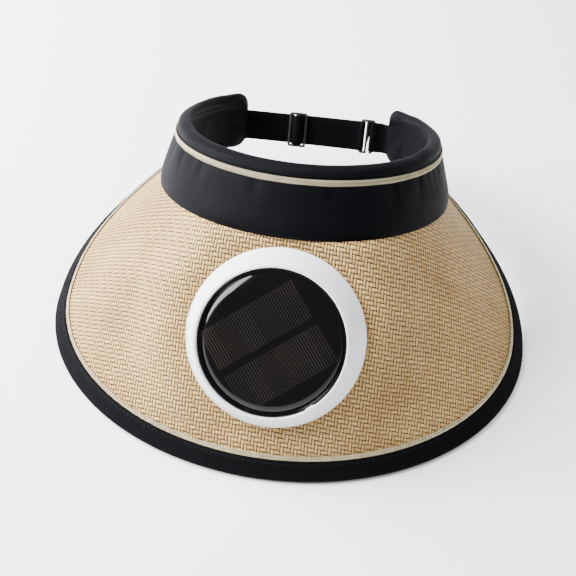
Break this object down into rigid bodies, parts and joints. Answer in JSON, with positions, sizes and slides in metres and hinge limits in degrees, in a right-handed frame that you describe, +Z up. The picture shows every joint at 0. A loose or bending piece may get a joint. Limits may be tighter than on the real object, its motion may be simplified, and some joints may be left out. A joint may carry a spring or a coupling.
{
  "type": "solar fan sun visor",
  "caption": "Open-crown straw sun visor with a padded headband, an adjustable elastic strap and a round solar fan unit let into the front of its brim.",
  "frame": {"origin": "middle of the hat's box seen from above, on the floor it stands on", "axes": "+Z up from the floor, -Y towards the front of the brim, +X towards the wearer's left"},
  "size_m": [0.299, 0.2664, 0.1322],
  "materials": {
    "straw": "woven natural straw, matte",
    "black_cloth": "smooth black cloth, satin to matte",
    "cream_braid": "plaited cream cord, matte",
    "black_elastic": "ribbed black elastic, matte",
    "black_plastic": "moulded black plastic, satin",
    "white_plastic": "moulded white plastic, semi-gloss",
    "panel_gloss": "clear resin over black solar cells, glossy",
    "motor_metal": "plain drawn steel can"
  },
  "bodies": {
    "hat": {"straw_brim": "straw", "brim_binding": "black_cloth", "edge_braid": "cream_braid", "headband": "black_cloth", "band_braid": "cream_braid", "strap_left": "black_elastic", "strap_right": "black_elastic", "strap_slider": "black_plastic", "strap_hook": "black_plastic", "fan_bezel": "white_plastic", "solar_panel": "panel_gloss", "fan_housing": "white_plastic", "fan_guard": "white_plastic", "fan_motor": "motor_metal"},
    "fan": {"fan_rotor": "black_plastic"}
  },
  "joints": [
    {"name": "fan_spin", "type": "hinge", "parent": "hat", "child": "fan", "pos_m": [0, -0.07409, 0.05781], "axis": [0, -0.7315, 0.6818], "continuous": true}
  ]
}
